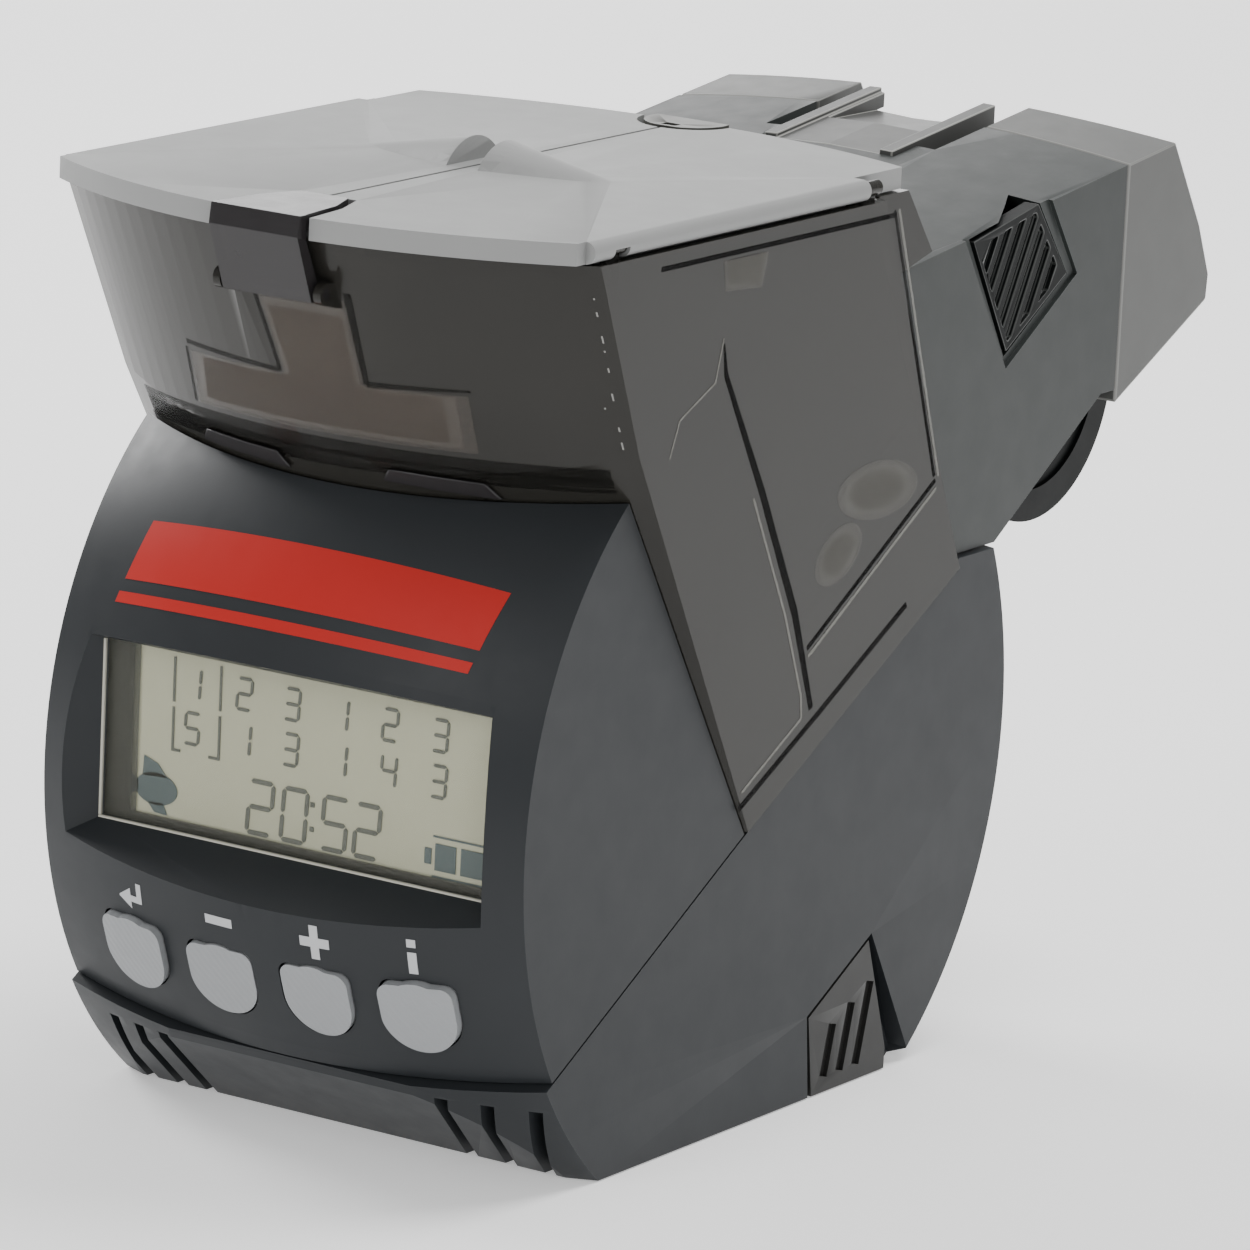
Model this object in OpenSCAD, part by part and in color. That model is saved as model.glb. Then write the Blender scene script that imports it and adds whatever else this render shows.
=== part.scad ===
// Automatic fish feeder with two food chambers.
// The base is a short drum lying on its side. A slanted split divides it into a base shell
// and a control housing, and the food unit (hopper, rear housing and cap) rides on the split.
// Frame: x to the right, y to the back, z up; x = 0 mid width, y = 0 on the drum's axis,
// z = 0 on the underside, where the pads in the base end flush with the shell.

/* [Base drum] */
// Half of the base's width
half_w = 40; // [39:0.5:41]
// Radius of the drum at its two ends
drum_r = 60.5; // [60:0.5:61]
// Height of the drum's axis
drum_z = 48; // [47.5:0.5:48.5]
// How far the drum swells at mid width
drum_bow = 6; // [5:0.5:6]
// Wall thickness of the housings
wall = 2; // [1.8:0.1:2.2]

/* [Split] */
// Slope of the split, in degrees
slope = 30; // [29.5:0.5:30.5]
// y of the point where the hopper's front wall meets the split
vertex_y = -6; // [-6.5:0.5:-5.5]
// z of that point
vertex_z = 42.4; // [42:0.2:42.8]
// Gap between the food unit and the base
seat_gap = 0.4; // [0.3:0.1:0.5]

/* [Hopper] */
// Half width of the hopper at its top
hop_top_w = 43.8; // [43.5:0.1:44]
// Half width of the hopper at the split
hop_low_w = 40.3; // [40:0.1:40.5]
// Height of the hopper's rim
rim_z = 128.2; // [128:0.1:128.4]
// Wall thickness of the hopper
hop_wall = 1.6; // [1.4:0.1:1.8]
// Radius of the bowed front wall
front_r = 84; // [82:1:86]
// Radius of the bowed rear wall
rear_r = 112; // [110:1:114]

/* [Lids] */
// Underside of the lids
lid_z = 128.5; // [128.4:0.1:128.6]
// Thickness of the lids
lid_t = 3; // [3:0.1:3.2]
// Height of the thumb ridges
ridge_h = 3.4; // [3:0.2:4]

/* [Feed] */
// Sideways distance of each feed screw from the middle
feed_x = 20; // [19.5:0.5:20.5]
// Height of the feed screws above the split
feed_n = 10.5; // [10.3:0.1:10.7]
// Radius of the trough round each screw
trough_r = 8.3; // [8.2:0.1:8.4]
// Outer radius of the screw's flight
flight_r = 7.8; // [7.5:0.1:7.8]
// Pitch of the screw's flight
flight_pitch = 12; // [11:1:13]

/* [Drive] */
// Gear module
gear_m = 0.6; // [0.6]
// Teeth on each drive gear
gear_teeth = 28; // [28]
// Teeth on each motor pinion
pinion_teeth = 12; // [12]
// Travel room of the keys
key_travel = 0.8; // [0.6:0.1:1]

/* [Outlet] */
// Radius of the outlet drum
outlet_r = 20.8; // [20.4:0.1:21]
// y of the outlet drum's axis
outlet_y = 74.5; // [74:0.5:75]
// z of the outlet drum's axis
outlet_z = 93.3; // [93:0.1:93.5]
// Half of the outlet drum's length
outlet_w = 34.6; // [34:0.1:34.8]

/* [Hidden] */
$fn = 96;
big = 400;
eps = 0.01;

bow_r = (half_w * half_w + drum_bow * drum_bow) / (2 * drum_bow);
ledge_z = 72.4;
low_tilt = 32.2;
high_tilt = 26.3;
rear_tilt = 26.06;
chin_y = -41.2;
chin_tilt = 51.2;
chin_out = 1.5;
slot_z = 11.8;
slot_w = 1.9;
left_slots = [-32.3, -27, -22];
right_slots = [24.4, 30.9, 37.4];
bend_y = -38.5;
bend_z = 94.1;
rear_low_y = 42.4;
rear_low_z = 73.6;
mid_w = 42.4;

face_tilt = 21.7;
key_pitch = 15.8;
key_shift = 0.5;
key_corner = 1.8;
key_w = 11;
key_h = 10.6;
gear_r = gear_m * gear_teeth / 2;
pinion_r = gear_m * pinion_teeth / 2;
pinion_n = feed_n + gear_r + pinion_r;
gear_s = -19.5;
gear_w = 5;
coupler_s = -10.9;
screw_end_s = 71.5;
tube_end_s = 72;

cell_r = 7.25;
cell_len = 50.5;
cell_z = 10.4;
cell_y = 3;
cell_pitch = 14.8;
cover_y = -24;
cover_z = 1.7;
cover_w = 31;

ridge_x = 2.6;
hinge_x = 42.3;
hinge_z = lid_z + lid_t / 2;
crown_r = 290;
top_y = 34;
top_z = 116.8;
top_rise = 7.125;
cap_y = 88.6;
rear_w = 39;
latch_y = 69;

grip = [[46.5, 118.0], [65, 121.4], [74.2, 109.5], [57.8, 99.6]];
tab = [[12.2, 11.8], [27.1, 20.1], [33, 3.2], [33, 0], [13.9, 0]];
pad_r = 2.9;
pad_h = 1;
post_x = 34.5;
post_y = -33;
front_clip_y = -66.4;
front_clip_z = 121;
clip_y = 31;
clip_z = 121.4;

// ---------- helpers ----------

// Stands a (y, z) outline along x, from x0 to x1
module along_x(x0, x1) {
    translate([x0, 0, 0])
        rotate([90, 0, 90])
            linear_extrude(x1 - x0)
                children();
}

// Stands an (x, z) outline along y, from y0 to y1
module along_y(y0, y1) {
    translate([0, y1, 0])
        rotate([90, 0, 0])
            linear_extrude(y1 - y0)
                children();
}

// The split's frame: y runs up the split, z stands off it
module on_split() {
    translate([0, vertex_y, vertex_z])
        rotate([slope, 0, 0])
            children();
}

module above_split(gap) {
    on_split()
        translate([-big / 2, -big / 2, gap])
            cube([big, big, big]);
}

module below_split(gap) {
    on_split()
        translate([-big / 2, -big / 2, -big - gap])
            cube([big, big, big]);
}

// A rod along the y direction, from y0 to y1
module rod_y(r, y0, y1) {
    translate([0, y0, 0])
        rotate([-90, 0, 0])
            cylinder(r = r, h = y1 - y0);
}

// A rod along the x direction, from x0 to x1
module rod_x(r, x0, x1) {
    translate([x0, 0, 0])
        rotate([0, 90, 0])
            cylinder(r = r, h = x1 - x0);
}

// ---------- drum ----------

// A drum with swollen sides, inset by t
module drum(t) {
    translate([0, 0, drum_z])
        rotate([0, 90, 0])
            rotate_extrude()
                intersection() {
                    translate([drum_r + drum_bow - bow_r, 0])
                        circle(r = bow_r - t);
                    translate([0, t - half_w])
                        square([drum_r + drum_bow, 2 * (half_w - t)]);
                }
}

// Tilted post whose surface makes a bowed wall through the line (y0, z0) at x = w
module bowed_post(y0, z0, tilt, r, w, inset, side) {
    translate([0, y0, z0])
        rotate([tilt, 0, 0])
            translate([0, side * sqrt(r * r - w * w), -90])
                cylinder(r = r - inset, h = 240);
}

// Everything behind the chin's flat face, less gap
module behind_chin(gap) {
    shift = gap / cos(chin_tilt);
    along_x(-big / 2, big / 2)
        polygon([
            [chin_y + shift - 24 * tan(chin_tilt), 24], [chin_y + shift, 0],
            [big, 0], [big, big], [chin_y + shift - 24 * tan(chin_tilt), big]
        ]);
}

// Everything behind the hopper's front wall, grown by gap
module behind_front(gap) {
    intersection() {
        bowed_post(vertex_y, vertex_z, low_tilt, front_r, 41, -gap, 1);
        bowed_post(bend_y, bend_z, high_tilt, front_r, mid_w, -gap, 1);
    }
}

// ---------- base ----------

// Slanted air slot that runs out at the chin's bottom edge
module chin_slot(x0, lean) {
    along_y(-80, -38.6)
        polygon([
            [x0 - slot_w / 2, slot_z], [x0 + slot_w / 2, slot_z],
            [x0 - lean + slot_w / 2, -1], [x0 - lean - slot_w / 2, -1]
        ]);
}

module base_shell() {
    color([0.27, 0.28, 0.30])
    difference() {
        intersection() {
            union() {
                drum(0);
                // The chin stands a little proud under the crease
                intersection() {
                    drum(-chin_out);
                    translate([-half_w, -80, 0])
                        cube([2 * half_w, 50, 24]);
                }
            }
            behind_chin(0);
            below_split(0);
            translate([-big / 2, -big / 2, 0])
                cube([big, big, ledge_z]);
        }
        difference() {
            intersection() {
                drum(wall);
                behind_chin(wall);
                below_split(wall);
                translate([-big / 2, -big / 2, wall])
                    cube([big, big, ledge_z - 2 * wall]);
            }
            // Pockets behind the side tabs
            for (x = [-half_w, 35.2])
                along_x(x, x + half_w - 35.2)
                    polygon([[10, 14], [28, 23.5], [42, 3], [42, 0], [10, 0]]);
            // Bosses under the heads of the housing screws
            for (x = [-post_x, post_x])
                translate([x, post_y, 0])
                    cylinder(r = 4, h = 6);
        }
        // Opening in the deck under the control housing, for the wires
        on_split()
            translate([-28, -44, -10])
                cube([56, 20, 20]);
        // Air slots at both ends of the chin
        for (x0 = left_slots)
            chin_slot(x0, 1.9);
        for (x0 = right_slots)
            chin_slot(x0, 4.2);
        // Battery opening, with the side arms' openings
        translate([-cover_w - 0.5, cover_y - 2.2, -1])
            cube([2 * cover_w + 1, 56.6, 8]);
        for (x = [-half_w - 1, cover_w])
            translate([x, 13, -1])
                cube([half_w + 1 - cover_w, 21.2, 3.8]);
        for (x = [-half_w - 1, 36.8])
            along_x(x, x + half_w - 35.8)
                polygon([[11.7, 12.1], [27.8, 21], [38.9, 2], [38.9, -1], [13.1, -1]]);
        // Sockets of the cover's hinge studs
        translate([0, cover_y, cover_z])
            rod_x(0.9, -34, 34);
        // Sockets of the feet
        for (x = [-24, 24])
            for (y = [-33.5, 34.4])
                translate([x, y, -1])
                    cylinder(r = pad_r + 0.1, h = 1 + pad_h);
        // Pilot holes of the housing screws
        for (x = [-post_x, post_x])
            translate([x, post_y, -1]) {
                cylinder(r = 1.3, h = 30);
                cylinder(r = 2.5, h = 3.4);
            }
    }
}

module rubber_feet() {
    color([0.12, 0.12, 0.12])
    for (x = [-24, 24])
        for (y = [-33.5, 34.4])
            translate([x, y, 0])
                cylinder(r = pad_r, h = pad_h);
}

module housing_screws() {
    color([0.7, 0.7, 0.72])
    for (x = [-post_x, post_x])
        translate([x, post_y, 0.4]) {
            cylinder(r = 1.2, h = 32.6);
            cylinder(r = 2.3, h = 1.9);
        }
}

// ---------- control housing ----------

// Places its children on the key face: z outwards, y up the face
module on_key_face(x) {
    translate([x, 0, drum_z])
        rotate([face_tilt, 0, 0])
            translate([0, -drum_r, 0])
                rotate([90, 0, 0])
                    children();
}

// D-shaped key outline, flat side up with rounded corners
module key_outline(grow) {
    r = key_w / 2 + grow;
    mid = key_w / 2 - key_h / 2;
    top = key_h / 2 + grow;
    translate([0, mid])
        circle(r = r);
    translate([-r, mid])
        square([2 * r, top - mid - key_corner]);
    translate([key_corner - r, mid])
        square([2 * (r - key_corner), top - mid]);
    for (x = [key_corner - r, r - key_corner])
        translate([x, top - key_corner])
            circle(r = key_corner);
}

// Sunk display window with a sloping sill and a sloping left cheek
module window_recess() {
    intersection() {
        along_x(-37.5, 35)
            polygon([[-57.8, 41.6], [-70, 32.4], [-70, 70.8], [-57.8, 66.4]]);
        translate([0, 0, 30])
            linear_extrude(50)
                polygon([
                    [-31.6, -57.8], [-38.6, -63.8], [-38.6, -72],
                    [34.6, -72], [34.6, -62.5], [32.4, -57.8]
                ]);
    }
    along_y(-60, -50)
        translate([-31.6, 41.6])
            square([64, 24.8]);
}

module control_housing() {
    color([0.27, 0.28, 0.30])
    difference() {
        intersection() {
            drum(0);
            above_split(0.3);
            translate([-half_w, -80, 10])
                cube([2 * half_w, 80, 100]);
        }
        behind_front(seat_gap);
        difference() {
            intersection() {
                drum(wall);
                above_split(0);
                translate([-half_w, -80, 10])
                    cube([2 * half_w, 90, 100]);
            }
            behind_front(seat_gap + wall);
            // Frame round the display window
            translate([-38.5, -70, 30])
                cube([77, 12.2, 44]);
            // Posts for the housing screws
            for (x = [-half_w, 31])
                translate([x, post_y - 3, 0])
                    cube([half_w - 31, 6, 35]);
        }
        window_recess();
        for (i = [-1.5, -0.5, 0.5, 1.5])
            on_key_face(key_shift + i * key_pitch)
                translate([0, 0, -8])
                    linear_extrude(20)
                        key_outline(0.25);
        // Bearings of the drive couplers in the notch wall
        on_split()
            for (x = [-feed_x, feed_x])
                translate([x, 0, feed_n])
                    rod_y(4.06, -20, 0);
        // Pilot holes of the housing screws
        for (x = [-post_x, post_x])
            translate([x, post_y, 0])
                cylinder(r = 1.3, h = 34);
        // Seat of the display
        translate([-34.2, -57.8, 39.6])
            cube([68, 5, 28]);
    }
}

module key_cap(i) {
    color([0.74, 0.74, 0.75])
    intersection() {
        on_key_face(key_shift + i * key_pitch)
            translate([0, 0, -1.4])
                linear_extrude(14)
                    key_outline(0);
        drum(-1);
    }
    color([0.74, 0.74, 0.75])
    on_key_face(key_shift + i * key_pitch)
        translate([0, 0, -2.4])
            cylinder(r = 2, h = 3);
}

module key_enter() { key_cap(-1.5); }
module key_minus() { key_cap(-0.5); }
module key_plus() { key_cap(0.5); }
module key_info() { key_cap(1.5); }

// Rubber mat under the keys, with a low dome behind each key
module key_mat() {
    color([0.2, 0.2, 0.2])
    on_key_face(0)
        translate([-33, -5.8, -6.2])
            cube([66, 11.8, 1.2]);
    color([0.2, 0.2, 0.2])
    for (i = [-1.5, -0.5, 0.5, 1.5])
        on_key_face(key_shift + i * key_pitch)
            translate([0, 0, -5 - eps])
                cylinder(r = 2.4, h = 5 - 2.4 - key_travel - 0.1);
}

module key_board() {
    color([0.1, 0.35, 0.2])
    on_key_face(0)
        translate([-33, -5.8, -7.8])
            cube([66, 11.8, 1.6]);
}

module display_lens() {
    color([0.8, 0.82, 0.8, 0.5])
    translate([-34, -57.8, 39.8])
        cube([67.6, 1.2, 27.6]);
}

module display_module() {
    color([0.62, 0.65, 0.55])
    translate([-33, -56.6, 40.2])
        cube([66, 3.6, 26.8]);
}

module main_board() {
    color([0.1, 0.35, 0.2])
    translate([-33, -53, 36])
        cube([66, 1.6, 33]);
}

// ---------- power ----------

module battery_tray() {
    color([0.2, 0.2, 0.21])
    difference() {
        translate([-cover_w, cover_y + 0.6, 3])
            cube([2 * cover_w, 54.6, 16.6]);
        for (i = [-1.5, -0.5, 0.5, 1.5])
            translate([i * cell_pitch, cell_y, cell_z]) {
                rod_y(cell_r + 0.1, -cell_len / 2 - 0.6, cell_len / 2 + 0.6);
                translate([-cell_r - 0.1, -cell_len / 2 - 0.6, -9])
                    cube([2 * cell_r + 0.2, cell_len + 1.2, 9]);
            }
    }
}

module battery_cells() {
    color([0.15, 0.3, 0.55])
    for (i = [-1.5, -0.5, 0.5, 1.5])
        translate([i * cell_pitch, cell_y, cell_z]) {
            rod_y(cell_r, -cell_len / 2 + 0.2, cell_len / 2 - 1.4);
            rod_y(2.7, -cell_len / 2 + 0.2, cell_len / 2 - 0.2);
        }
}

module battery_contacts() {
    color([0.8, 0.8, 0.82])
    for (y = [cell_y - cell_len / 2 - 0.5, cell_y + cell_len / 2 + 0.1])
        for (i = [-1.5, -0.5, 0.5, 1.5])
            translate([i * cell_pitch - 4, y, cell_z - 4])
                cube([8, 0.4, 8]);
}

// Hinged floor under the cells, held by a ribbed tab at each side
module battery_cover() {
    color([0.25, 0.26, 0.28])
    difference() {
        union() {
            translate([-cover_w, cover_y, 0])
                cube([2 * cover_w, 53.6, 1.8]);
            translate([0, cover_y, cover_z])
                rod_x(1.1, -cover_w, cover_w);
            translate([0, cover_y, cover_z])
                rod_x(0.8, -cover_w - 2.2, cover_w + 2.2);
            translate([-half_w, 14.6, 0])
                cube([2 * half_w, 14.8, 1.8]);
            for (x = [-half_w, half_w - 1.8])
                along_x(x, x + 1.8)
                    polygon(tab);
        }
        // Grooves between the grip ribs
        for (side = [-1, 1])
            for (k = [0, 1, 2])
                translate([side * half_w, 15.2 + 4.2 * k, 0])
                    rotate([-14, 0, 0])
                        translate([-0.7, 0, 2.6])
                            cube([1.4, 2, 7.6 + 2.2 * k]);
    }
}

// ---------- fan ----------

fan_y = -31;
fan_z = 13.2;
fan_half = 10;

module fan_frame() {
    color([0.13, 0.13, 0.14])
    translate([0, fan_y, fan_z])
        difference() {
            translate([-fan_half, 0, -fan_half])
                cube([2 * fan_half, 6, 2 * fan_half]);
            rod_y(9.1, -1, 5.2);
            for (a = [45, 135, 225, 315])
                rotate([0, a, 0])
                    translate([5.6, 0, 0])
                        rod_y(2.6, 4, 7);
            rod_y(1.05, 4, 7);
        }
}

module fan_rotor() {
    color([0.2, 0.2, 0.22])
    translate([0, fan_y, fan_z]) {
        rod_y(4, 0.8, 4.4);
        rod_y(1, 4, 5.9);
        for (k = [0:6])
            rotate([0, k * 360 / 7, 0])
                translate([3.6, 2.6, 0])
                    rotate([35, 0, 0])
                        translate([0, -0.4, -2])
                            cube([4.9, 0.8, 4]);
    }
}

// ---------- drive ----------

// Spur gear outline with straight-sided teeth
module gear_outline(teeth, gear_module, phase) {
    r = gear_module * teeth / 2;
    root = r - 1.25 * gear_module;
    tip = r + 0.8 * gear_module;
    step = 360 / teeth;
    circle(r = root);
    for (k = [0 : teeth - 1])
        rotate([0, 0, phase + k * step])
            polygon([
                [root - 0.3, -0.32 * gear_module * PI],
                [root + 0.1, -0.32 * gear_module * PI],
                [tip, -0.12 * gear_module * PI],
                [tip, 0.12 * gear_module * PI],
                [root + 0.1, 0.32 * gear_module * PI],
                [root - 0.3, 0.32 * gear_module * PI]
            ]);
}

module drive_gear(x) {
    color([0.9, 0.9, 0.86])
    on_split()
        translate([x, 0, feed_n]) {
            translate([0, gear_s, 0])
                rotate([-90, 0, 0])
                    linear_extrude(gear_w)
                        gear_outline(gear_teeth, gear_m, -90 + 180 / gear_teeth);
            rod_y(4, gear_s, coupler_s);
            rod_y(1.5, gear_s - 6, gear_s + 1);
            translate([-2.8, coupler_s - 1, -0.8])
                cube([5.6, 4, 1.6]);
        }
}

module drive_gear_left() { drive_gear(-feed_x); }
module drive_gear_right() { drive_gear(feed_x); }

module pinion(x) {
    color([0.85, 0.75, 0.4])
    on_split()
        translate([x, 0, pinion_n])
            difference() {
                translate([0, gear_s - 0.3, 0])
                    rotate([-90, 0, 0])
                        linear_extrude(gear_w)
                            gear_outline(pinion_teeth, gear_m, 90);
                rod_y(0.8, gear_s - 1, gear_s + gear_w);
            }
    // Motor shaft, pressed in the pinion
    color([0.75, 0.75, 0.77])
    on_split()
        translate([x, 0, pinion_n])
            rod_y(0.8, gear_s - 6.6, gear_s + gear_w - 0.6);
}

module pinion_left() { pinion(-feed_x); }
module pinion_right() { pinion(feed_x); }

bracket_s = gear_s - 3.2;

module motor_bracket() {
    color([0.3, 0.31, 0.33])
    on_split()
        difference() {
            union() {
                translate([-35, bracket_s, 1.4])
                    cube([70, 2, 26.6]);
                for (x = [-feed_x, feed_x])
                    translate([x, 0, feed_n])
                        rod_y(3, bracket_s - 3, bracket_s + 1);
            }
            for (x = [-feed_x, feed_x]) {
                translate([x, 0, feed_n])
                    rod_y(1.55, bracket_s - 4, bracket_s + 3);
                translate([x, 0, pinion_n])
                    rod_y(2.3, bracket_s - 1, bracket_s + 3);
            }
        }
}

module motor(x) {
    color([0.72, 0.73, 0.75])
    on_split()
        translate([x, 0, pinion_n])
            difference() {
                union() {
                    rod_y(5.8, bracket_s - 12, bracket_s);
                    rod_y(2.2, bracket_s - 0.5, bracket_s + 1.4);
                    rod_y(1.8, bracket_s - 13, bracket_s - 11);
                }
                rod_y(0.85, bracket_s - 5, bracket_s + 3);
            }
}

module motor_left() { motor(-feed_x); }
module motor_right() { motor(feed_x); }

// ---------- food unit ----------

// Solid block of the hopper, inset by t
module hopper_block(t) {
    intersection() {
        bowed_post(vertex_y, vertex_z, low_tilt, front_r, 41, t, 1);
        bowed_post(bend_y, bend_z, high_tilt, front_r, mid_w, t, 1);
        bowed_post(rear_low_y, rear_low_z, rear_tilt, rear_r, mid_w, t, -1);
        along_y(-90, 70)
            polygon([
                [t - hop_low_w, vertex_z - 20], [hop_low_w - t, vertex_z - 20],
                [hop_low_w - t, vertex_z], [hop_top_w - t, rim_z + 1],
                [t - hop_top_w, rim_z + 1], [t - hop_low_w, vertex_z]
            ]);
    }
}

// Funnel cross-section over one trough, in the split's frame, grown by t
module funnel_outline(t) {
    polygon([
        [feed_x - trough_r - t, feed_n], [feed_x + trough_r + t, feed_n],
        [feed_x + trough_r + t, feed_n + 4], [44 + t, feed_n + 22 + t],
        [44 + t, 140], [0.8 - t, 140], [0.8 - t, feed_n + 16 + t],
        [feed_x - trough_r - t, feed_n + 4]
    ]);
    translate([feed_x, feed_n])
        circle(r = trough_r + t);
}

// Both chambers, from the front wall to the rear wall
module chambers(t, s0, s1) {
    for (side = [0, 1])
        mirror([side, 0, 0])
            on_split()
                along_y(s0, s1)
                    funnel_outline(t);
}

module hopper() {
    color([0.35, 0.34, 0.32, 0.6])
    difference() {
        union() {
            // Outer skin
            difference() {
                intersection() {
                    hopper_block(0);
                    above_split(0.3);
                    translate([-big / 2, -big / 2, 0])
                        cube([big, big, rim_z]);
                }
                intersection() {
                    hopper_block(hop_wall);
                    above_split(-5);
                }
            }
            // Funnels and troughs inside the skin
            difference() {
                intersection() {
                    hopper_block(0.4);
                    above_split(0.3);
                    translate([-big / 2, -big / 2, 0])
                        cube([big, big, rim_z - 3]);
                    chambers(1.2, -30, 90);
                }
                chambers(0, -30, 90);
            }
            // Middle wall between the chambers
            intersection() {
                hopper_block(0.4);
                above_split(8);
                translate([-0.8, -80, 40])
                    cube([1.6, 130, rim_z - 42]);
            }
            // Roof over the troughs behind the feed mouth
            intersection() {
                hopper_block(0.4);
                on_split()
                    translate([-45, 22, feed_n + trough_r - 0.8])
                        cube([90, 60, 2.2]);
            }
            // Feed tubes behind the rear wall
            on_split()
                for (x = [-feed_x, feed_x])
                    translate([x, 0, feed_n])
                        rod_y(trough_r + 1.2, 50, tube_end_s);
            // Front ends of the troughs
            intersection() {
                hopper_block(0);
                on_split()
                    for (x = [-feed_x, feed_x])
                        translate([x, 0, feed_n])
                            rod_y(6, -12, -4.5);
            }
            // Ears at the rear top corners
            for (x = [-41.4, 39.4])
                along_x(x, x + 2)
                    polygon([[17, 128.2], [24.6, 128.2], [31.7, 118.7], [23.7, 116.6], [19.5, 116]]);
            // Lugs of the front clip's pivot
            for (x = [-8.8, 7.6])
                along_x(x, x + 1.2) {
                    translate([front_clip_y, front_clip_z])
                        circle(r = 1.5);
                    polygon([[-66.4, 119.5], [-62.5, 118.5], [-63.2, 122], [-66.4, 122.5]]);
                }
            // Knuckles of the lid hinges
            for (side = [-1, 1])
                for (y = [-51, 11.6])
                    translate([side * hinge_x, y, 0])
                        union() {
                            translate([0, 0, hinge_z])
                                rod_y(1.1, 0, 3);
                            translate([-1.1, 0, rim_z - 3.4])
                                cube([2.2, 3, 3.4]);
                            translate([side > 0 ? -1.1 : 0.15, 0, rim_z - 1])
                                cube([0.95, 3, hinge_z - rim_z + 1]);
                        }
        }
        // Inside of the troughs and feed tubes
        on_split()
            for (x = [-feed_x, feed_x])
                translate([x, 0, feed_n])
                    rod_y(trough_r, 1, tube_end_s + 1);
        // Front bearings of the feed screws
        on_split()
            for (x = [-feed_x, feed_x])
                translate([x, 0, feed_n])
                    rod_y(4.06, -14, 2);
        // Sockets of the front clip's pivot
        translate([0, front_clip_y, front_clip_z])
            rod_x(0.86, -9, 9);
        // Bores of the lid pins
        for (side = [-1, 1])
            for (y = [-52, 10])
                translate([side * hinge_x, y, hinge_z])
                    rod_y(0.6, 0, 6);
    }
}

module screw_bearing(x) {
    color([0.3, 0.3, 0.32])
    on_split()
        translate([x, 0, feed_n]) {
            difference() {
                rod_y(3.4, screw_end_s - 2, tube_end_s);
                rod_y(1.55, screw_end_s - 3, screw_end_s - 0.4);
            }
            for (a = [30, 150, 270])
                rotate([0, a, 0])
                    translate([2.8, screw_end_s - 2, -0.7])
                        cube([trough_r - 2.8 - 0.04, 2.4, 1.4]);
        }
}

module screw_bearing_left() { screw_bearing(-feed_x); }
module screw_bearing_right() { screw_bearing(feed_x); }

// Feed screw with a coupling slot at its front end
module feed_screw(x, hand) {
    turns_len = 64;
    color([0.82, 0.82, 0.78])
    on_split()
        translate([x, 0, feed_n]) {
            difference() {
                rod_y(4, coupler_s + 0.2, 1.4);
                translate([-5, coupler_s, -1])
                    cube([10, 3.6, 2]);
            }
            rod_y(2.4, 1, screw_end_s - 2.3);
            rod_y(1.5, screw_end_s - 3, screw_end_s - 0.6);
            translate([0, 3, 0])
                rotate([-90, 0, 0])
                    linear_extrude(turns_len, twist = hand * 360 * turns_len / flight_pitch,
                                   slices = 110, $fn = 4)
                        translate([1.6, -0.9])
                            square([flight_r - 1.6, 1.8]);
        }
}

module feed_screw_left() { feed_screw(-feed_x, 1); }
module feed_screw_right() { feed_screw(feed_x, -1); }

// ---------- lids ----------

// Right lid's plan, shrunk by t
module lid_plan(t) {
    intersection() {
        translate([0, 11])
            circle(r = 81 - t);
        translate([0, -75.5])
            circle(r = 107 - t);
        translate([0.3 + t, -80])
            square([hinge_x - 0.3 - t, 91]);
    }
    intersection() {
        translate([0, -75.5])
            circle(r = 107 - t);
        translate([0.3 + t, 0])
            square([40.8 - 0.3 - 2 * t, 40]);
    }
}

module thumb_ridge() {
    // A low cone on its side, cut steep beside the seam
    intersection() {
        translate([ridge_x, -17.5, lid_z + lid_t - 4.4])
            rotate([0, 90, 0])
                cylinder(r1 = ridge_h + 4.4, r2 = 4.2, h = 18.5);
        translate([ridge_x, -30, lid_z + lid_t - 1])
            cube([20, 24, 8]);
    }
}

module lid() {
    difference() {
        union() {
            translate([0, 0, lid_z])
                linear_extrude(lid_t)
                    lid_plan(0);
            // Round hinge edge
            intersection() {
                translate([hinge_x, -80, hinge_z])
                    rod_y(lid_t / 2, 24, 91);
                translate([0, 0, lid_z - 1])
                    linear_extrude(lid_t + 2)
                        translate([0, 11])
                            circle(r = 81);
            }
            // Locating lip inside the hopper's rim
            intersection() {
                translate([0, 0, lid_z - 2.2])
                    linear_extrude(2.3)
                        difference() {
                            intersection() {
                                lid_plan(4.6);
                                translate([0, -80])
                                    square([39.8, 91.5]);
                            }
                            intersection() {
                                lid_plan(6);
                                translate([0, -80])
                                    square([38.4, 90]);
                            }
                        }
                hopper_block(hop_wall + 0.6);
            }
            thumb_ridge();
        }
        // Clearance for the clips at both ends of the seam
        translate([0, 0, lid_z - 4])
            linear_extrude(12)
                polygon([[-1, -76], [8.6, -76], [6.8, -61], [4.6, -54.6], [-1, -54.6]]);
        translate([0, 31.5, lid_z - 4])
            cylinder(r = 7.2, h = 12);
        // Slots for the hopper's knuckles, open below and outwards
        for (y = [-51.2, 11.4])
            translate([hinge_x, y, hinge_z]) {
                rod_y(1.25, 0, 3.4);
                translate([-1.25, 0, -4])
                    cube([6, 3.4, 4]);
            }
        // Bores of the hinge pins
        translate([hinge_x, 0, hinge_z])
            rod_y(0.65, -54.7, 11.5);
    }
}

module lid_right() {
    color([0.70, 0.70, 0.70])
        lid();
}

module lid_left() {
    color([0.70, 0.70, 0.70])
        mirror([1, 0, 0])
            lid();
}

module lid_hinge_pins() {
    color([0.8, 0.8, 0.82])
    for (side = [-1, 1])
        translate([side * hinge_x, 0, hinge_z]) {
            rod_y(0.6, -54.5, -44.5);
            rod_y(0.6, 5, 14.4);
        }
}

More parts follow.
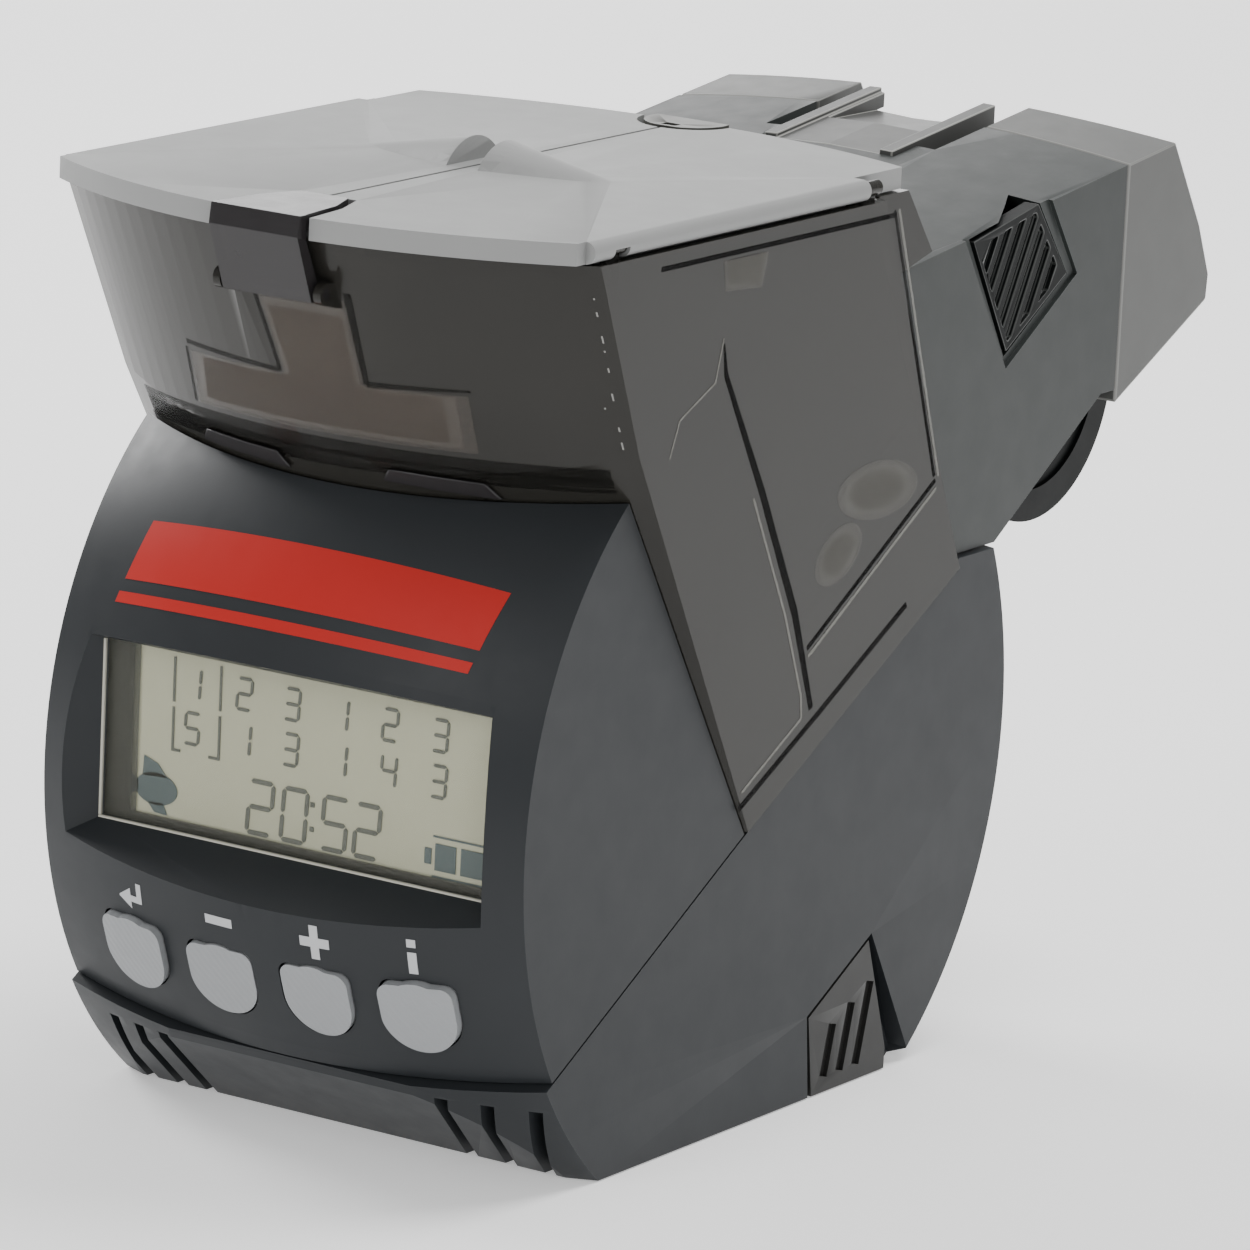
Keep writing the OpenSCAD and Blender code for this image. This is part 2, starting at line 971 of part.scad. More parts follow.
// ---------- clips ----------

module front_clip() {
    color([0.33, 0.32, 0.31, 0.8])
    difference() {
        union() {
            // Leaf that hangs over the front wall
            along_x(-7.2, 7.2)
                polygon([
                    [-70.9, 131.8], [-69.3, 131.8], [-69.3, 128.4],
                    [-65.2, 119.8], [-67.6, 119.8], [-71.3, 129]
                ]);
            // Pivot at its foot
            translate([0, front_clip_y, front_clip_z])
                rod_x(0.8, -8.6, 8.6);
            // Top that reaches back between the lids
            translate([0, 0, 129.6])
                linear_extrude(2.2)
                    polygon([[-7.2, -70.4], [7.2, -70.4], [6, -61], [3.8, -55.4], [-3.8, -55.4], [-6, -61]]);
        }
        translate([-4, -66.5, 129])
            cube([8, 7, 1.6]);
    }
}

module rear_clip() {
    color([0.5, 0.5, 0.48, 0.8])
    difference() {
        union() {
            along_x(-3.8, 3.8)
                polygon([
                    [26.6, 131.6], [28.8, 131.6], [28.8, 129.2],
                    [31.9, 121.6], [31, 120.6], [29.6, 121], [25.7, 128.4]
                ]);
            // Pivot at its foot
            translate([0, clip_y, clip_z])
                rod_x(0.9, -8.4, 8.4);
            // Round tab in the lids' rear recess
            intersection() {
                translate([0, 31.5, 130])
                    cylinder(r = 6.2, h = 1.6);
                translate([-8, 25.6, 129])
                    cube([16, 7.4, 4]);
            }
        }
        translate([-1.2, 26.4, 128])
            cube([2.4, 1.6, 8]);
    }
}

// ---------- rear housing ----------

// Side profile of the rear housing and cap together, inset by t
module rear_profile(t) {
    polygon([
        [30, 72.8 + t], [57 - 0.3 * t, 72.8 + t], [84.8 - 0.5 * t, 90.4 + t],
        [cap_y + 2, 90.4 + t], [cap_y + 2, 140], [10, 140]
    ]);
}

// Crowned roof: everything under a wide arc that rises to the back, inset by t
module under_roof(t) {
    translate([0, top_y, top_z])
        rotate([top_rise, 0, 0])
            translate([0, -60, -sqrt(crown_r * crown_r - rear_w * rear_w)])
                rotate([-90, 0, 0])
                    cylinder(r = crown_r - t, h = 170);
}

// Everything behind the hopper's rear wall, less gap
module behind_rear(gap) {
    bowed_post(rear_low_y, rear_low_z, rear_tilt, rear_r, mid_w, -gap, -1);
}

// Well for the latch tongue, wider beside its free part and open to the back
module latch_well() {
    difference() {
        union() {
            translate([-11.5, latch_y - 0.4, 110])
                cube([23, 60, 30]);
            translate([-14.6, latch_y + 6, 110])
                cube([29.2, 60, 30]);
        }
        under_roof(5.4);
    }
}

// Floor under the latch tongue
module well_floor() {
    intersection() {
        translate([-16.6, latch_y - 2.4, 110])
            cube([33.2, 60, 30]);
        difference() {
            under_roof(1);
            under_roof(7);
        }
    }
}

module rear_housing() {
    color([0.36, 0.38, 0.38])
    difference() {
        intersection() {
            along_x(-rear_w, rear_w)
                rear_profile(0);
            under_roof(0);
            translate([-50, 0, 60])
                cube([100, cap_y, 90]);
        }
        behind_rear(seat_gap);
        difference() {
            intersection() {
                along_x(wall - rear_w, rear_w - wall)
                    rear_profile(wall);
                under_roof(wall);
            }
            well_floor();
            // Cheeks that hold the rear clip's pivot
            for (x = [-9.4, 7])
                translate([x, 26, 117])
                    cube([2.4, 14, 12]);
        }
        // Sockets of the rear clip's pivot
        translate([0, clip_y, clip_z])
            rod_x(0.95, -8.8, 8.8);
        // Opening for the outlet drum
        translate([0, outlet_y, outlet_z])
            rod_x(outlet_r + 0.5, -outlet_w - 0.6, outlet_w + 0.6);
        // Blind sockets of the drum's studs
        for (side = [0, 1])
            mirror([side, 0, 0])
                translate([0, outlet_y, outlet_z])
                    rod_x(2.06, 30, rear_w - 0.8);
        // Windows for the release grips, and the sunk border round them
        for (side = [0, 1])
            mirror([side, 0, 0]) {
                along_x(30, 50)
                    polygon(grip);
                along_x(rear_w - 0.7, 50)
                    polygon([[44.4, 118.3], [63.4, 123.4], [67, 122.2], [76, 109.4], [57.5, 98.0]]);
            }
        // Room for the hopper's ears
        for (side = [0, 1])
            mirror([side, 0, 0])
                along_x(36, 50)
                    polygon([[10, 140], [26, 132], [32.6, 118.4], [23.7, 115.6], [10, 112]]);
        // Room for the rear clip
        along_x(-7, 7)
            polygon([[20, 140], [40, 140], [39.6, 119.6], [20, 119.6]]);
        latch_well();
    }
}

module release_grip(side) {
    color([0.16, 0.17, 0.17])
    mirror([side, 0, 0])
        difference() {
            union() {
                along_x(36.3, 38.6)
                    polygon([[47.4, 117.6], [64.7, 120.9], [73.6, 109.6], [57.9, 100.4]]);
            }
            // Grooves between the slanted grip ribs
            intersection() {
                for (k = [0 : 6])
                    translate([37.9, 49.2 + 3.3 * k, 110])
                        rotate([-28, 0, 0])
                            translate([0, -0.75, -20])
                                cube([2, 1.5, 40]);
                along_x(36, 40)
                    polygon([[48.8, 116.6], [64.2, 119.6], [72, 109.7], [58.2, 101.8]]);
            }
        }
}

module release_grip_right() { release_grip(0); }
module release_grip_left() { release_grip(1); }

// Ribbed outlet drum: turned by hand to open or close the outlet
module outlet_drum() {
    color([0.17, 0.18, 0.17])
    translate([0, outlet_y, outlet_z])
        difference() {
            union() {
                difference() {
                    rod_x(outlet_r - 0.5, -outlet_w, outlet_w);
                    rod_x(outlet_r - 2.4, 1.6 - outlet_w, outlet_w - 1.6);
                }
                // Rims at both ends
                for (x = [-outlet_w, outlet_w - 2])
                    rod_x(outlet_r, x, x + 2);
                // Grip ribs along the drum
                for (k = [0 : 23])
                    rotate([k * 15 + 7.5, 0, 0])
                        translate([-outlet_w, outlet_r - 1.1, -0.6])
                            cube([2 * outlet_w, 0.9, 1.2]);
                rod_x(2, -rear_w + 1, -outlet_w + 1);
                rod_x(2, outlet_w - 1, rear_w - 1);
            }
            // Inlet facing the feed tubes and outlet facing down
            for (side = [-1, 1])
                translate([side * 17, 0, 0])
                    translate([-14, 0, 0]) {
                        along_x(0, 28)
                            polygon([[0, 0], [-40, 8], [-40, -37]]);
                        along_x(0, 28)
                            polygon([[0, 0], [-13, -30], [13, -30]]);
                    }
            // Sunk ring on both end faces
            for (x = [-outlet_w - 1, outlet_w - 0.6])
                translate([x, 0, 0])
                    rotate([0, 90, 0])
                        difference() {
                            cylinder(r = outlet_r - 4.6, h = 1.6);
                            cylinder(r = 4, h = 1.6);
                        }
        }
}

// ---------- rear cap ----------

// Cap profile, pulled in by t
module cap_profile(t) {
    polygon([
        [cap_y + 0.4, 88.4 + t], [114 - t, 100.4 + 0.7 * t], [114.4 - t, 104.7],
        [111 - t, 112 - 0.5 * t], [99.4 - 0.8 * t, 130], [cap_y + 0.4, 130]
    ]);
}

module rear_cap() {
    color([0.55, 0.55, 0.55])
    difference() {
        intersection() {
            along_x(-rear_w, rear_w)
                cap_profile(0);
            under_roof(0);
        }
        difference() {
            intersection() {
                along_x(wall - rear_w, rear_w - wall)
                    polygon([
                        [cap_y - 1, 90.4], [111.6, 101.6], [112.2, 104.7],
                        [109, 111], [97.6, 130], [cap_y - 1, 130]
                    ]);
                under_roof(wall);
            }
            well_floor();
        }
        translate([0, outlet_y, outlet_z])
            rod_x(outlet_r + 0.5, -outlet_w - 0.6, outlet_w + 0.6);
        latch_well();
    }
}

// Spring tongue that holds the cap, with a rail along each side
module cap_latch() {
    color([0.5, 0.5, 0.5])
    difference() {
        union() {
            intersection() {
                translate([-11, latch_y, 110])
                    cube([22, 28.4, 30]);
                difference() {
                    under_roof(0);
                    under_roof(2.2);
                }
            }
            for (x = [-11, 8.8])
                intersection() {
                    translate([x, latch_y, 110])
                        cube([2.2, 28.4, 30]);
                    difference() {
                        under_roof(-0.7);
                        under_roof(1);
                    }
                }
        }
        // Thumb recess between the rails, deeper to the back
        along_x(-8.2, 8.2)
            polygon([[82, 127], [82, 124.8], [99, 124.6], [99, 132], [82, 132]]);
    }
}

base_shell();
control_housing();
display_lens();
display_module();
main_board();
key_board();
key_mat();
key_enter();
key_minus();
key_plus();
key_info();
battery_tray();
battery_cells();
battery_contacts();
battery_cover();
rubber_feet();
housing_screws();
fan_frame();
fan_rotor();
motor_bracket();
motor_left();
motor_right();
pinion_left();
pinion_right();
drive_gear_left();
drive_gear_right();
hopper();
rear_housing();
screw_bearing_left();
screw_bearing_right();
feed_screw_left();
feed_screw_right();
lid_left();
lid_right();
lid_hinge_pins();
front_clip();
rear_clip();
outlet_drum();
release_grip_left();
release_grip_right();
rear_cap();
cap_latch();
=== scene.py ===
import math

import bmesh
import bpy
from mathutils import Matrix, Vector


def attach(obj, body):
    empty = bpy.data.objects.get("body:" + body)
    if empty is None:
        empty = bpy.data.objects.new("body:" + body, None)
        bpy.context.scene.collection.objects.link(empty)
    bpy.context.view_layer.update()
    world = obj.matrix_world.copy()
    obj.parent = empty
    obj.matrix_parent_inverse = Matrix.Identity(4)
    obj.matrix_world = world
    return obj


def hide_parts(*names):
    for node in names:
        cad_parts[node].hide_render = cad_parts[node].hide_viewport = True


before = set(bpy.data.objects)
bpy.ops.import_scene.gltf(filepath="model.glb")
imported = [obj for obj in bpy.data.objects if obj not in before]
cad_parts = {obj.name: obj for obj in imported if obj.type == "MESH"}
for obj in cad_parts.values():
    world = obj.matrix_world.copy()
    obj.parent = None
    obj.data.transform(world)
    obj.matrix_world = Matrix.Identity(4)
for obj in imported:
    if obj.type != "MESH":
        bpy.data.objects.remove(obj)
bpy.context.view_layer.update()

MM = 0.001

# Camera and light, in metres, degrees and watts
CAMERA_PLACE = (0.6102, -0.9046, 0.3220)
CAMERA_ANGLES = (33.38, 13.29, 2.70)    # azimuth, elevation, roll
CAMERA_LENS = 230.8
LIGHT_TARGET = (0, 0.02, 0.07)
LIGHTS = (    # name, place, diameter, power
    ("key_light", (-1.25, 0.15, 0.75), 0.5, 15),
    ("top_light", (0.25, 0.45, 1.3), 0.7, 16),
    ("right_light", (1.1, -0.9, 0.9), 0.5, 3),
    ("front_light", (-0.25, -1.3, 0.75), 0.5, 3.5),
    ("back_light", (-0.75, 1.15, 0.42), 0.8, 4),
)
WORLD_STRENGTH = 0.50
FLOOR_HALF = 3
FLOOR_Z = -0.0002
FLOOR_GLOW = 0.42

# The swollen drum: half width, radius at the sides, extra radius in the middle, axis height (mm)
HALF_W = 40.0
DRUM_R = 60.5
DRUM_BOW = 6.0
DRUM_Z = 48.0
BOW_R = (HALF_W**2 + DRUM_BOW**2) / (2 * DRUM_BOW)

# The hopper: bow of its front, each front wall's (y, z, lean in degrees, half width), and the
# half width at two heights (mm)
FRONT_R = 84.0
FRONT_WALLS = ((-6.0, 42.4, 32.2, 41.0), (-38.5, 94.1, 26.3, 42.4))
SIDE_LOW = (40.3, 42.4)
SIDE_HIGH = (43.8, 129.2)

# Finish
SHARP_ANGLE = math.radians(14)
BEVEL_ANGLE = math.radians(32)
GRAIN_DEPTH = 0.00004
COAT_ROUGHNESS = 0.12

# Thin sheets on a surface: height of the underside and of the top above it (mm)
SHEET_LOW = 0.01
SHEET_HIGH = 0.06
LINE_STEP = 3
ELLIPSE_SIDES = 24
PAINTED_LIGHT_STEPS = 6

# Display: y of the panel's layers, front to back, and rows and columns of its figures (mm)
LIP_Y = (-58.3, -57.82)
WINDOW_Y = (-57.8, -57.1)
SHADE_Y = (-56.90, -56.84)
INK_Y = (-56.74, -56.66)
FIGURE_COLUMNS = (-19.2, -10.6, -2.6, 5.4, 13.6, 21.8)
CLOCK_COLUMNS = (-8.2, -2.5, 4.2, 9.6)
SEGMENTS = {
    "0": "abcdef", "1": "bc", "2": "abged", "3": "abgcd", "4": "fgbc", "5": "afgcd",
}

# Printed marks over the keys: middle of each across the drum, and their common height (mm)
ENTER_U, MINUS_U, PLUS_U, INFO_U = -22.6, -6.6, 9.3, 24.1
MARK_V = -14.2


# ---------- camera, light and floor ----------


def make_camera():
    azimuth, elevation, roll = (math.radians(a) for a in CAMERA_ANGLES)
    back = Vector((
        math.sin(azimuth) * math.cos(elevation),
        -math.cos(azimuth) * math.cos(elevation),
        math.sin(elevation),
    ))
    level_right = Vector((math.cos(azimuth), math.sin(azimuth), 0))
    level_up = back.cross(level_right)
    right = math.cos(roll) * level_right + math.sin(roll) * level_up
    up = -math.sin(roll) * level_right + math.cos(roll) * level_up
    data = bpy.data.cameras.new("camera")
    data.lens = CAMERA_LENS
    data.sensor_width = 36
    data.clip_start = 0.05
    data.clip_end = 20
    camera = bpy.data.objects.new("camera", data)
    turn = Matrix((right, up, back)).transposed().to_4x4()
    camera.matrix_world = Matrix.Translation(CAMERA_PLACE) @ turn
    bpy.context.scene.collection.objects.link(camera)
    bpy.context.scene.camera = camera


def area_light(name, place, size, power):
    data = bpy.data.lights.new(name, "AREA")
    data.shape = "DISK"
    data.size = size
    data.energy = power
    light = bpy.data.objects.new(name, data)
    light.location = place
    aim = Vector(LIGHT_TARGET) - Vector(place)
    light.rotation_euler = aim.to_track_quat("-Z", "Y").to_euler()
    bpy.context.scene.collection.objects.link(light)


def make_stage():
    world = bpy.data.worlds.new("studio")
    world.use_nodes = True
    sky = world.node_tree.nodes["Background"].inputs
    sky["Color"].default_value = (1, 1, 1, 1)
    sky["Strength"].default_value = WORLD_STRENGTH
    bpy.context.scene.world = world
    for light in LIGHTS:
        area_light(*light)

    mesh = bpy.data.meshes.new("floor")
    bm = bmesh.new()
    corners = ((-1, -1), (1, -1), (1, 1), (-1, 1))
    bm.faces.new([bm.verts.new((x * FLOOR_HALF, y * FLOOR_HALF, FLOOR_Z)) for x, y in corners])
    bm.to_mesh(mesh)
    bm.free()
    floor = bpy.data.objects.new("floor", mesh)
    bpy.context.scene.collection.objects.link(floor)
    paper = plastic("floor_paper", (0.88, 0.88, 0.88), rough=0.8, mottle=0.01)
    glow = paper.node_tree.nodes["Principled BSDF"].inputs
    glow["Emission Color"].default_value = (1, 1, 1, 1)
    glow["Emission Strength"].default_value = FLOOR_GLOW
    floor.data.materials.append(paper)


# ---------- materials ----------


def new_material(name):
    material = bpy.data.materials.new(name)
    material.use_nodes = True
    tree = material.node_tree
    shader = tree.nodes["Principled BSDF"]
    place = tree.nodes.new("ShaderNodeTexCoord")
    return material, tree, shader, place


def noise(tree, place, scale, detail=2.0, rough=0.5):
    node = tree.nodes.new("ShaderNodeTexNoise")
    node.inputs["Scale"].default_value = scale
    node.inputs["Detail"].default_value = detail
    node.inputs["Roughness"].default_value = rough
    tree.links.new(place.outputs["Object"], node.inputs["Vector"])
    return node


def plastic(name, color, rough=0.5, mottle=0.06, grain=2600, bump=0.12, spread=0.08,
            specular=0.5, coat=0.0, alpha=1.0, metallic=0.0):
    """Moulded plastic: slow colour drift, fine eroded texture and uneven sheen.

    mottle is the colour's drift, grain and bump the texture's scale and strength, and spread
    how far the roughness strays from rough.
    """
    material, tree, shader, place = new_material(name)
    drift = noise(tree, place, 38, 3)
    mix = tree.nodes.new("ShaderNodeMix")
    mix.data_type = "RGBA"
    mix.inputs["A"].default_value = (*[c * (1 - mottle) for c in color], 1)
    mix.inputs["B"].default_value = (*[min(1, c * (1 + mottle)) for c in color], 1)
    tree.links.new(drift.outputs["Fac"], mix.inputs["Factor"])
    tree.links.new(mix.outputs["Result"], shader.inputs["Base Color"])
    sheen = noise(tree, place, 210, 4, 0.6)
    spread_node = tree.nodes.new("ShaderNodeMapRange")
    spread_node.inputs["To Min"].default_value = max(0.02, rough - spread)
    spread_node.inputs["To Max"].default_value = min(1.0, rough + spread)
    tree.links.new(sheen.outputs["Fac"], spread_node.inputs["Value"])
    tree.links.new(spread_node.outputs["Result"], shader.inputs["Roughness"])
    if bump > 0:
        texture = noise(tree, place, grain, 2, 0.55)
        relief = tree.nodes.new("ShaderNodeBump")
        relief.inputs["Strength"].default_value = bump
        relief.inputs["Distance"].default_value = GRAIN_DEPTH
        tree.links.new(texture.outputs["Fac"], relief.inputs["Height"])
        tree.links.new(relief.outputs["Normal"], shader.inputs["Normal"])
    shader.inputs["Specular IOR Level"].default_value = specular
    shader.inputs["Metallic"].default_value = metallic
    shader.inputs["Coat Weight"].default_value = coat
    shader.inputs["Coat Roughness"].default_value = COAT_ROUGHNESS
    shader.inputs["Alpha"].default_value = alpha
    return material


def metal(name, color, rough=0.3):
    return plastic(name, color, rough=rough, mottle=0.05, grain=900, bump=0.05, metallic=1.0)


def brushed_key(name, color):
    """Key plastic with fine slanted hatching."""
    material = plastic(name, color, rough=0.42, mottle=0.03, bump=0)
    tree = material.node_tree
    shader = tree.nodes["Principled BSDF"]
    place = next(n for n in tree.nodes if n.type == "TEX_COORD")
    turn = tree.nodes.new("ShaderNodeMapping")
    turn.inputs["Rotation"].default_value = (0, math.radians(38), 0)
    tree.links.new(place.outputs["Object"], turn.inputs["Vector"])
    wave = tree.nodes.new("ShaderNodeTexWave")
    wave.inputs["Scale"].default_value = 330
    wave.inputs["Distortion"].default_value = 1.2
    wave.inputs["Detail"].default_value = 1
    tree.links.new(turn.outputs["Vector"], wave.inputs["Vector"])
    relief = tree.nodes.new("ShaderNodeBump")
    relief.inputs["Strength"].default_value = 0.35
    relief.inputs["Distance"].default_value = 0.00008
    tree.links.new(wave.outputs["Fac"], relief.inputs["Height"])
    tree.links.new(relief.outputs["Normal"], shader.inputs["Normal"])
    return material


def make_materials():
    return {
        "shell": plastic("shell_plastic", (0.019, 0.0215, 0.024), rough=0.42, specular=0.25),
        # The edge colours below are lighter copies of their face colours: painted highlights on
        # the rounded edges
        "shell_edge_highlight": plastic("shell_edge_highlight", (0.075, 0.082, 0.090), rough=0.30),
        "rear": plastic("rear_plastic", (0.026, 0.030, 0.029), rough=0.42, specular=0.34),
        "rear_edge_highlight": plastic("rear_edge_highlight", (0.10, 0.11, 0.105), rough=0.36),
        "cap": plastic("cap_plastic", (0.10, 0.102, 0.098), rough=0.42, specular=0.36),
        "cap_edge_highlight": plastic("cap_edge_highlight", (0.21, 0.21, 0.20), rough=0.4),
        "lid": plastic("lid_plastic", (0.275, 0.278, 0.275), rough=0.55, grain=1700, bump=0.35),
        # The lid's edge colour is darker than the lid: painted shade on its rounded edges
        "lid_edge_shade": plastic("lid_edge_shade", (0.25, 0.25, 0.245), rough=0.5),
        "smoke": plastic("smoke_plastic", (0.022, 0.021, 0.018), rough=0.16, bump=0,
                         spread=0.03, alpha=0.90, coat=0.1, mottle=0.2, specular=0.2),
        "smoke_edge_highlight": plastic("smoke_edge_highlight", (0.10, 0.096, 0.088), rough=0.2, bump=0,
                              spread=0.03, alpha=0.75),
        # Painted shade on the hopper's walls: dark lines
        "smoke_painted_shade": plastic("smoke_shade", (0.005, 0.005, 0.005), rough=0.4, bump=0,
                              alpha=0.50, specular=0.02),
        # Painted shade on the hopper's front: dim lines and a darker band at the foot
        "smoke_dim_shade": plastic("smoke_dim_shade", (0.008, 0.008, 0.007), rough=0.4, bump=0,
                             alpha=0.26, specular=0.05),
        # Painted highlights, painted reflections and painted glow on the smoked hopper
        "smoke_light": plastic("smoke_gleam", (0.22, 0.215, 0.19), rough=0.2, bump=0, alpha=0.42),
        "smoke_reflection": plastic("smoke_reflection", (0.16, 0.153, 0.132), rough=0.3, bump=0, spread=0,
                              alpha=0.12),
        "smoke_warm": plastic("smoke_warm", (0.30, 0.255, 0.215), rough=0.2, bump=0, alpha=0.05,
                              mottle=0.2),
        "fleck": plastic("pale_fleck", (0.40, 0.40, 0.38), rough=0.4, bump=0, alpha=0.5),
        "clip": plastic("clip_plastic", (0.022, 0.020, 0.021), rough=0.24, bump=0.02, alpha=0.88,
                        coat=0.05, specular=0.35),
        "ear": plastic("rear_clip_plastic", (0.06, 0.06, 0.052), rough=0.35, alpha=0.9,
                       specular=0.3),
        "key": brushed_key("key_plastic", (0.285, 0.295, 0.305)),
        "key_edge_highlight": plastic("key_edge_highlight", (0.54, 0.55, 0.56), rough=0.35),
        "print": plastic("icon_print", (0.50, 0.51, 0.52), rough=0.5, bump=0.05),
        "accent": plastic("accent_print", (0.46, 0.020, 0.016), rough=0.42, bump=0.08,
                          specular=0.15),
        "panel": plastic("display_panel", (0.42, 0.42, 0.285), rough=0.35, mottle=0.02, bump=0),
        "ink": plastic("display_ink", (0.060, 0.068, 0.050), rough=0.5, mottle=0.02, bump=0),
        "ink_blue": plastic("display_ink_blue", (0.035, 0.065, 0.068), rough=0.5, mottle=0.02,
                            bump=0),
        "shade": plastic("display_shade", (0.012, 0.013, 0.007), rough=0.6, bump=0, alpha=0.42),
        "lens": plastic("lens_plastic", (0.5, 0.5, 0.42), rough=0.05, bump=0, alpha=0.05),
        # Painted highlight on the window frame's edge
        "lip": plastic("window_lip_highlight", (0.46, 0.45, 0.38), rough=0.35, bump=0),
        "rib": plastic("ribbed_plastic", (0.005, 0.006, 0.006), rough=0.5, specular=0.15),
        "rib_edge_highlight": plastic("ribbed_edge", (0.035, 0.038, 0.036), rough=0.35),
        "tab": plastic("tab_plastic", (0.020, 0.020, 0.019), rough=0.40, specular=0.3),
        "tab_edge_highlight": plastic("tab_edge_highlight", (0.11, 0.11, 0.10), rough=0.34),
        "latch": plastic("latch_plastic", (0.085, 0.086, 0.083), rough=0.42),
        "latch_edge_highlight": plastic("latch_edge_highlight", (0.33, 0.33, 0.31), rough=0.38),
        "board": plastic("circuit_board", (0.02, 0.11, 0.06), rough=0.3),
        "rubber": plastic("soft_rubber", (0.022, 0.022, 0.022), rough=0.85, bump=0.4),
        "acetal": plastic("acetal", (0.42, 0.40, 0.36), rough=0.38, mottle=0.03),
        "dark": plastic("inner_plastic", (0.030, 0.030, 0.032), rough=0.6),
        "cell": plastic("cell_sleeve", (0.03, 0.10, 0.28), rough=0.25, bump=0, coat=0.4),
        "steel": metal("plated_steel", (0.60, 0.61, 0.62), 0.28),
        "can": metal("motor_can", (0.50, 0.51, 0.53), 0.34),
        "brass": metal("brass", (0.62, 0.46, 0.18), 0.3),
    }


# ---------- mesh helpers ----------


def add_object(name, bm, material, body):
    bmesh.ops.recalc_face_normals(bm, faces=bm.faces)
    mesh = bpy.data.meshes.new(name)
    bm.to_mesh(mesh)
    bm.free()
    mesh.materials.append(material)
    piece = bpy.data.objects.new(name, mesh)
    bpy.context.scene.collection.objects.link(piece)
    mesh.shade_smooth()
    mesh.set_sharp_from_angle(angle=SHARP_ANGLE)
    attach(piece, body)
    return piece


def softened(node, face, edge, body, width, segments=2):
    """A copy of a CAD node with rounded edges, which stands for it. The rounded edges take the
    edge material: a painted highlight where it is lighter than the face, painted shade where it is
    darker.
    """
    bm = bmesh.new()
    bm.from_mesh(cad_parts[node].data)
    bmesh.ops.remove_doubles(bm, verts=bm.verts, dist=2e-6)
    bmesh.ops.dissolve_degenerate(bm, edges=bm.edges, dist=1e-6)
    piece = add_object(node + "_shell", bm, face, body)
    piece.data.materials.append(edge)
    round_off = piece.modifiers.new("round", "BEVEL")
    round_off.width = width * MM
    round_off.segments = segments
    round_off.limit_method = "ANGLE"
    round_off.angle_limit = BEVEL_ANGLE
    round_off.use_clamp_overlap = True
    round_off.harden_normals = True
    # The bevel's faces take the second material: painted highlight on most parts, painted shade on
    # the lids
    round_off.material = 1
    round_off.miter_outer = "MITER_ARC"
    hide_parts(node)
    return piece


def repaint(material, *nodes):
    for node in nodes:
        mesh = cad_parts[node].data
        mesh.materials.clear()
        mesh.materials.append(material)


def on_drum(x, angle, out):
    """Point on the drum's swollen side, angle in radians below the horizontal at the front."""
    radius = DRUM_R + DRUM_BOW - BOW_R + math.sqrt(BOW_R**2 - x * x) + out
    return Vector((x, -radius * math.cos(angle), DRUM_Z - radius * math.sin(angle))) * MM


def front_y(x, z):
    """y of the hopper's bowed front wall at (x, z), in mm."""
    depths = []
    for y0, z0, tilt, half in FRONT_WALLS:
        lean = math.radians(tilt)
        v = math.sqrt(FRONT_R**2 - half**2) - math.sqrt(FRONT_R**2 - x * x)
        depths.append(y0 + (v - math.sin(lean) * (z - z0)) / math.cos(lean))
    return max(depths)


def side_x(z):
    """Half width of the hopper at height z, in mm."""
    t = (z - SIDE_LOW[1]) / (SIDE_HIGH[1] - SIDE_LOW[1])
    return SIDE_LOW[0] + t * (SIDE_HIGH[0] - SIDE_LOW[0])


def drum_place(u, v, out):
    """u across the drum and v up its front from the height of its axis."""
    return on_drum(u, -v / DRUM_R, out)


def front_place(x, z, out):
    return Vector((x, front_y(x, z) - out, z)) * MM


def right_place(y, z, out):
    return Vector((side_x(z) + out, y, z)) * MM


def left_place(y, z, out):
    return Vector((-side_x(z) - out, y, z)) * MM


def patch(bm, corners, place, steps=(1, 1), low=SHEET_LOW, high=SHEET_HIGH):
    """Thin closed sheet over four corners in a surface's own coordinates."""
    across, along = steps
    grid = {}
    for layer, out in enumerate((low, high)):
        for i in range(across + 1):
            for j in range(along + 1):
                low_edge = Vector(corners[0]).lerp(Vector(corners[1]), i / across)
                high_edge = Vector(corners[3]).lerp(Vector(corners[2]), i / across)
                u, v = low_edge.lerp(high_edge, j / along)
                grid[layer, i, j] = bm.verts.new(place(u, v, out))
    for layer in (0, 1):
        for i in range(across):
            for j in range(along):
                bm.faces.new([grid[layer, i, j], grid[layer, i + 1, j],
                              grid[layer, i + 1, j + 1], grid[layer, i, j + 1]])
    rim = [(i, 0) for i in range(across)] + [(across, j) for j in range(along)]
    rim += [(i, along) for i in range(across, 0, -1)] + [(0, j) for j in range(along, 0, -1)]
    for a, b in zip(rim, rim[1:] + rim[:1]):
        bm.faces.new([grid[(0, *a)], grid[(0, *b)], grid[(1, *b)], grid[(1, *a)]])


def box_patch(bm, u0, u1, v0, v1, place, steps=(2, 2), high=SHEET_HIGH):
    patch(bm, [(u0, v0), (u1, v0), (u1, v1), (u0, v1)], place, steps, high=high)


def line_patch(bm, points, width, place):
    """A line through points, with one width or a list of widths, one for each point."""
    widths = width if isinstance(width, (list, tuple)) else [width] * len(points)
    for (a, b), (wa, wb) in zip(zip(points, points[1:]), zip(widths, widths[1:])):
        a, b = Vector(a), Vector(b)
        side = (b - a).orthogonal().normalized() / 2
        steps = (1, max(1, round((b - a).length / LINE_STEP)))
        patch(bm, [a - side * wa, a + side * wa, b + side * wb, b - side * wb], place, steps)


def close_rings(bm, rings):
    """Solid between two rings with the same number of points."""
    bm.faces.new(rings[0])
    bm.faces.new(list(reversed(rings[1])))
    count = len(rings[0])
    for i in range(count):
        j = (i + 1) % count
        bm.faces.new([rings[0][i], rings[0][j], rings[1][j], rings[1][i]])


